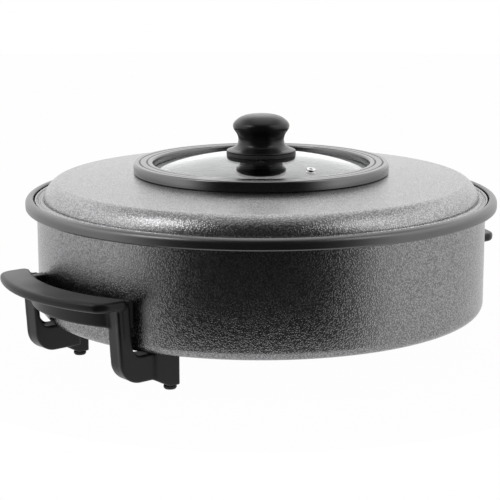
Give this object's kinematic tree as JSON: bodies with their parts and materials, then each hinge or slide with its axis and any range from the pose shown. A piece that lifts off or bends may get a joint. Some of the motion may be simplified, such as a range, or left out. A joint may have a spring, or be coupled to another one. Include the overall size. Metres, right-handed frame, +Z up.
{
  "type": "electric party pan",
  "caption": "Round electric pan with side handles on legs and a lift-off lid with a domed glass window.",
  "frame": {"origin": "centre of the pan on the surface it stands on", "axes": "+Z up, +X through the right handle, -Y towards the front, opposite the inlet"},
  "size_m": [0.492, 0.42, 0.2086],
  "materials": {
    "hammered_paint": "hammered",
    "coated_pan": "satin",
    "lid_paint": "hammered",
    "black_trim": "satin",
    "bakelite": "satin",
    "tinted_glass": "gloss",
    "seal_silicone": "matte",
    "pad_rubber": "matte",
    "bright_metal": "polished",
    "fastener_steel": "satin",
    "contact_brass": "satin",
    "element_steel": "matte",
    "tray_steel": "satin",
    "cover_steel": "matte",
    "housing_plastic": "matte"
  },
  "bodies": {
    "pan": {"cooking_pan": "coated_pan", "outer_casing": "hammered_paint", "base_cover": "cover_steel", "cover_screw_1": "fastener_steel", "cover_screw_2": "fastener_steel", "cover_screw_3": "fastener_steel", "cover_screw_4": "fastener_steel", "centre_bolt": "fastener_steel", "centre_spacer": "fastener_steel", "element_tray": "tray_steel", "heating_element": "element_steel", "inlet_housing": "housing_plastic", "live_pin": "contact_brass", "neutral_pin": "contact_brass", "probe_sleeve": "fastener_steel", "left_handle": "bakelite", "right_handle": "bakelite", "handle_screw_1": "fastener_steel", "handle_screw_2": "fastener_steel", "handle_screw_3": "fastener_steel", "handle_screw_4": "fastener_steel", "foot_pad_1": "pad_rubber", "foot_pad_2": "pad_rubber", "foot_pad_3": "pad_rubber", "foot_pad_4": "pad_rubber"},
    "lid": {"lid_shell": "lid_paint", "window_ring": "black_trim", "window_glass": "tinted_glass", "window_gasket": "seal_silicone", "retaining_ring": "black_trim", "ring_screw_1": "fastener_steel", "ring_screw_2": "fastener_steel", "ring_screw_3": "fastener_steel", "ring_screw_4": "fastener_steel", "vent_eyelet": "bright_metal", "knob": "bakelite", "knob_gasket": "seal_silicone", "knob_washer": "fastener_steel", "knob_screw": "fastener_steel"}
  },
  "joints": [
    {"name": "lid_lift", "type": "slide", "parent": "pan", "child": "lid", "axis": [0, 0, 1], "range_m": [0, 0.2]}
  ]
}
